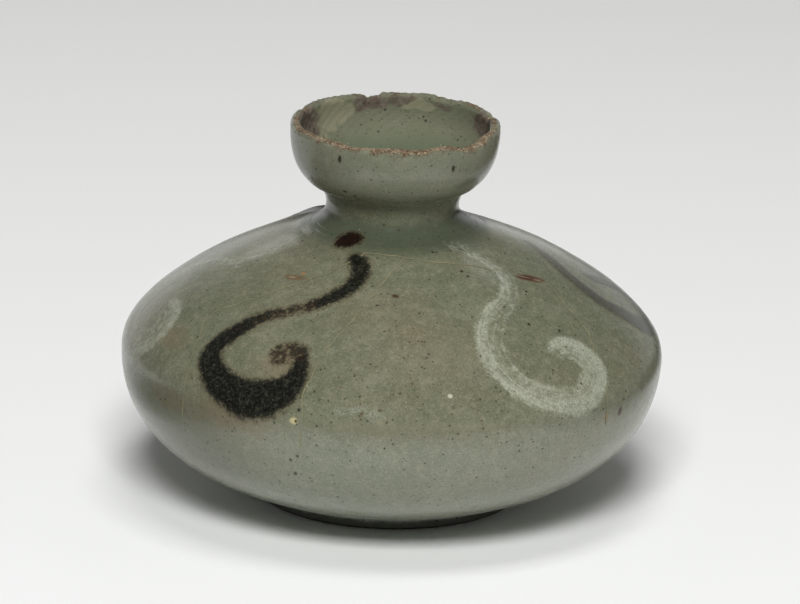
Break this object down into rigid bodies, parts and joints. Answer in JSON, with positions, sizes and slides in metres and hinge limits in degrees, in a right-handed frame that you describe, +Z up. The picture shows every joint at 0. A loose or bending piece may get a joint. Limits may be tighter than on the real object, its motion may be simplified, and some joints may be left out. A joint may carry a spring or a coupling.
{
  "type": "ceramic oil bottle",
  "caption": "Squat celadon oil bottle with a lens-shaped body, short waisted neck and cup mouth, brushed black and white slip scrolls, and a glued repair in the shoulder.",
  "frame": {"origin": "centre of the foot ring, on the surface that the bottle stands on", "axes": "+Z up along the axis of the neck and body; the repaired side with its black and white scrolls faces -Y; +X is to the right of that side"},
  "size_m": [0.0861, 0.086, 0.0608],
  "materials": {
    "celadon_glaze": "glossy grey-green glaze with iron specks",
    "luting_slip": "glazed slip seam",
    "black_slip": "grainy iron-black slip under glaze",
    "white_slip": "streaky white slip under glaze",
    "repair_glue": "yellowed matte glue"
  },
  "bodies": {
    "root": {"lower_bowl": "celadon_glaze", "belly_luting": "luting_slip", "shoulder_dome": "celadon_glaze", "left_sherd": "celadon_glaze", "right_sherd": "celadon_glaze", "repair_glue": "repair_glue", "neck_luting": "luting_slip", "neck_collar": "celadon_glaze", "cup_luting": "luting_slip", "cup_mouth": "celadon_glaze", "black_scroll_front": "black_slip", "black_scroll_right": "black_slip", "black_scroll_back": "black_slip", "white_scroll_front": "white_slip", "white_scroll_back": "white_slip", "white_scroll_left": "white_slip"}
  },
  "joints": []
}
